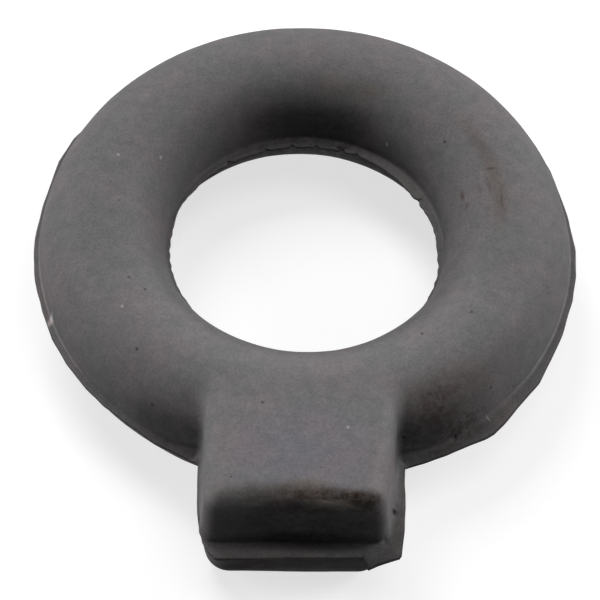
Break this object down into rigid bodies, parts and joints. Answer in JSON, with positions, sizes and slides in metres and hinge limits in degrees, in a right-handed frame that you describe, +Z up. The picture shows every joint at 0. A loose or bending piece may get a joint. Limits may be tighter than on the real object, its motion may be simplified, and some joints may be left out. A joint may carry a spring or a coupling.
{
  "type": "exhaust hanger",
  "caption": "Moulded rubber exhaust hanger: a thick round ring that loops over hooks, with a square buffer lug on its rim and trimmed mould flash round its middle.",
  "frame": {"origin": "under the middle of the part's outline, on the surface that the ring lies on; the ring's axis stands 5.8 mm behind it, at y = +0.0058 m", "axes": "+Z up along the ring's axis, square to the mould's parting plane; -Y from the ring out along the buffer lug; +X to the right, seen with the lug towards the viewer"},
  "size_m": [0.0614, 0.0722, 0.0156],
  "materials": {
    "rubber": "dull moulded grey-black rubber with a faint bloom"
  },
  "bodies": {
    "root": {"hanger": "rubber"}
  },
  "joints": []
}
